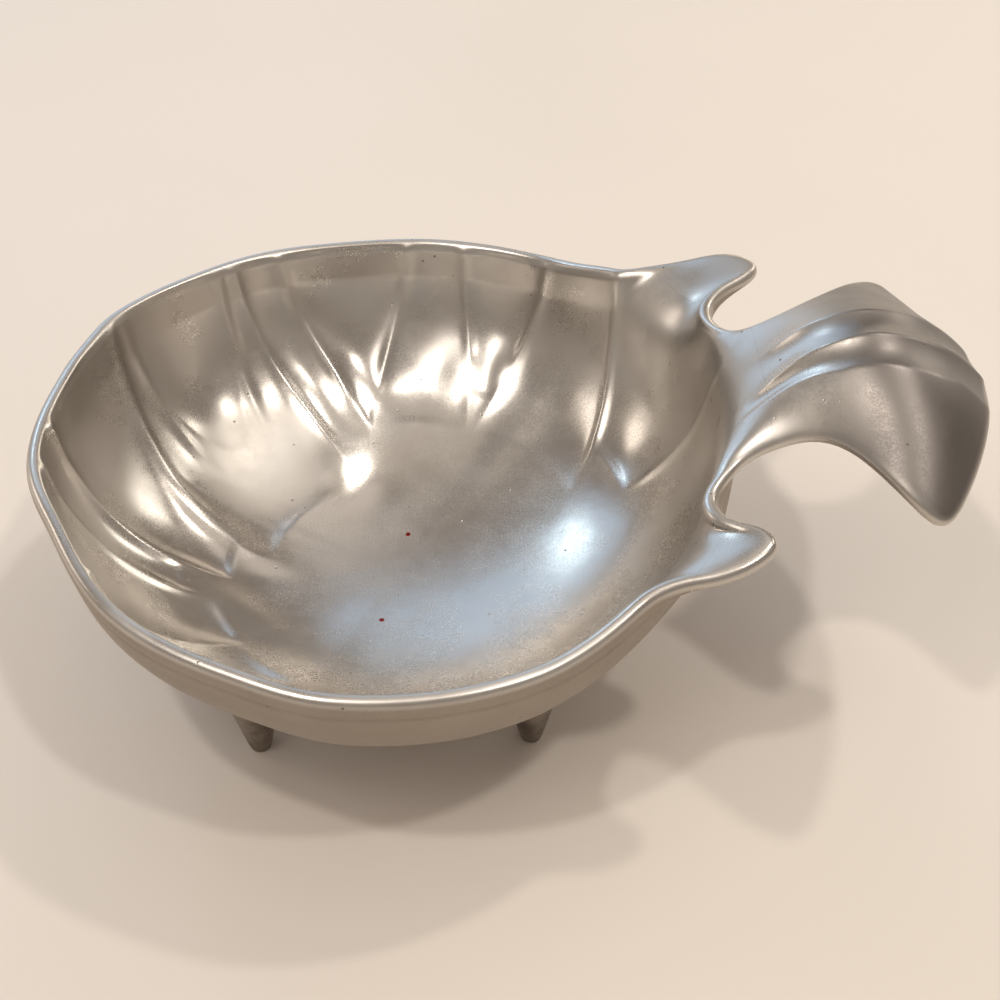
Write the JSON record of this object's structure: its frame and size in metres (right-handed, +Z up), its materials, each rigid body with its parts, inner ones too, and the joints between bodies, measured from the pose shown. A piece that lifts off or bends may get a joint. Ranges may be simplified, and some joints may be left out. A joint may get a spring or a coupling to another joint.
{
  "type": "footed shell dish",
  "caption": "Round cast-metal shell dish with scooped flutes inside, tapered peg feet, and a curled fish-tail handle between two small fins",
  "frame": {"origin": "on the table, under the middle of the dish's plan box", "axes": "+X from the bowl towards the tail handle, +Y towards the side away from the camera, +Z up"},
  "size_m": [0.2142, 0.1628, 0.0943],
  "materials": {
    "cast_polished": "cast, polished by hand, with fine scratches and a warm grey tarnish",
    "cast_satin": "cast, satin, darker than the bowl"
  },
  "bodies": {
    "root": {"bowl": "cast_polished", "tail_handle": "cast_polished", "fin_near": "cast_polished", "fin_far": "cast_polished", "foot_near_left": "cast_satin", "foot_near_right": "cast_satin", "foot_far_left": "cast_satin", "foot_far_right": "cast_satin"}
  },
  "joints": []
}
